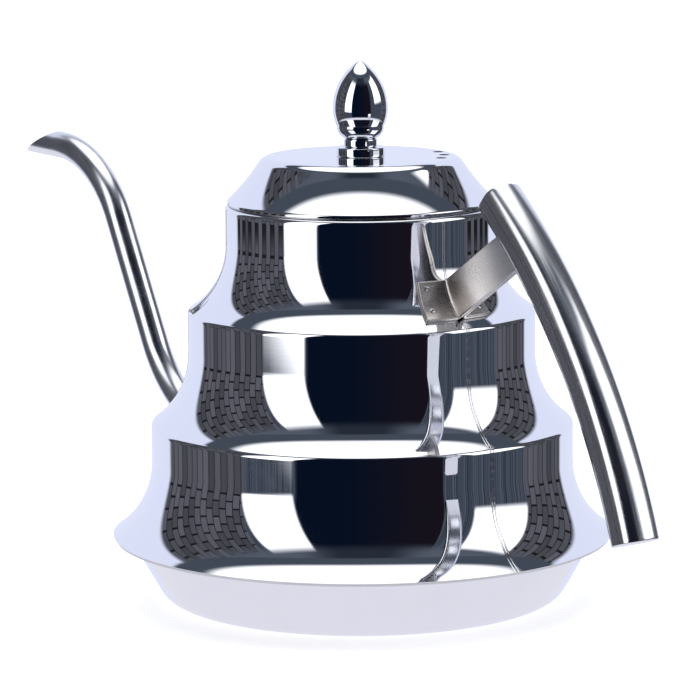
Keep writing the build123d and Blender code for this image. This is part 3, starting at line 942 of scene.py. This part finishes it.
# ------------------------------------------------------------------ knob
# Turned and spun parts stacked on the lid's screw: a collar, a short neck, a cup, and a hollow
# drop that closes to a point. All are mirror polished.

collar_radius, collar_height = 7.4 * mm, 2.8 * mm
bush_radius, bush_height = 5.1 * mm, 2.5 * mm
collar_edge, bush_edge = 0.4 * mm, 0.42 * mm
cup_foot, cup_rim, cup_height = 4.4 * mm, 7.1 * mm, 4.1 * mm
cup_bow = 3.57 * mm
cup_wall = 0.8 * sheet
cup_lip_in, cup_lip_up = 1.2 * sheet, 0.2 * sheet
drop_edge, drop_belly, drop_rise = 7.4 * mm, 8.4 * mm, 5.0 * mm
drop_height = 19.7 * mm
bore = 2.15 * mm
turned_steps = 128


def knob_disc(radius, low, high, edge):
    """A turned disc bored for the screw, with rounded rims."""
    line = Line(bore, low)
    line.to(radius, low, cuts=3).to(radius, high, cuts=3).to(bore, high, cuts=3).closed()
    return line.rounded((radius, low), (radius, high), radius=edge).turned(steps=turned_steps)


knob_polish = polished("knob_steel", (0.86, 0.88, 0.93), 0.02, 0.03)
bush_low = lid_top + collar_height
cup_low = bush_low + bush_height
drop_low = cup_low + cup_height
collar = knob_disc(collar_radius, lid_top, bush_low, collar_edge)
piece("collar", collar, [knob_polish], "lid", "knob_collar")
neck_bush = knob_disc(bush_radius, bush_low, cup_low, bush_edge)
piece("neck_bush", neck_bush, [knob_polish], "lid", "knob_neck_bush")

chord = Vector((cup_rim - cup_foot, cup_height))
bow_angle = degrees(2 * asin(chord.length / 2 / cup_bow))
middle = Vector((cup_foot, cup_low)) + chord / 2
inwards = Vector((-chord.y, chord.x)).normalized()
bow_centre = middle + inwards * sqrt(cup_bow**2 - chord.length_squared / 4)
cup = Line(bore, cup_low)
cup.to(cup_foot, cup_low, cuts=2)
cup.arc(bow_centre.x, bow_centre.y, bow_angle, 16)
cup.to(cup_rim - cup_lip_in, drop_low + cup_lip_up, cuts=1)
cup_mesh = cup.turned(steps=turned_steps)
facing(cup_mesh, lowest(cup_mesh), (0, 0, -1))
piece("cup", walled(cup_mesh, cup_wall), [knob_polish, mill.material], "lid", "knob_cup")

belly_z = drop_low + drop_rise
point_rise = drop_height - drop_rise
belly_in = drop_belly - drop_edge
low_reach = (belly_in**2 + drop_rise**2) / (2 * belly_in)
high_reach = (drop_belly**2 + point_rise**2) / (2 * drop_belly)
drop = Line(drop_edge, drop_low)
drop.arc(drop_belly - low_reach, belly_z, degrees(asin(drop_rise / low_reach)), 14)
drop.arc(drop_belly - high_reach, belly_z, degrees(asin(point_rise / high_reach)), 40)
piece("drop", drop.turned(sheet, turned_steps), [knob_polish, mill.material], "lid", "knob_drop")

# ------------------------------------------------------------------ parts under the lid
# The plug ring that centres the lid, and the screw, washers and boss that hold the knob. They are
# left as drawn, in plain steel with turning marks.

plain = Steel("plain_steel", (0.58, 0.58, 0.6), 0.3)
spin_marks = plain.noise(plain.vector(plain.x * 120, plain.y * 120, plain.z * 5000), 1.0, 2.0)
plain.feed("Roughness", spin_marks.step(0.3, 0.7, 0.2, 0.36))
plain.feed("Base Color", spin_marks.blend((0.5, 0.5, 0.52), (0.66, 0.66, 0.68)))
plain.bumps((spin_marks, 0.008 * mm))
for name in ("lid_inner_ring", "knob_insert", "knob_washer", "knob_spring_washer", "knob_screw"):
    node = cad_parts[name]
    node.data.materials.clear()
    node.data.materials.append(plain.material)
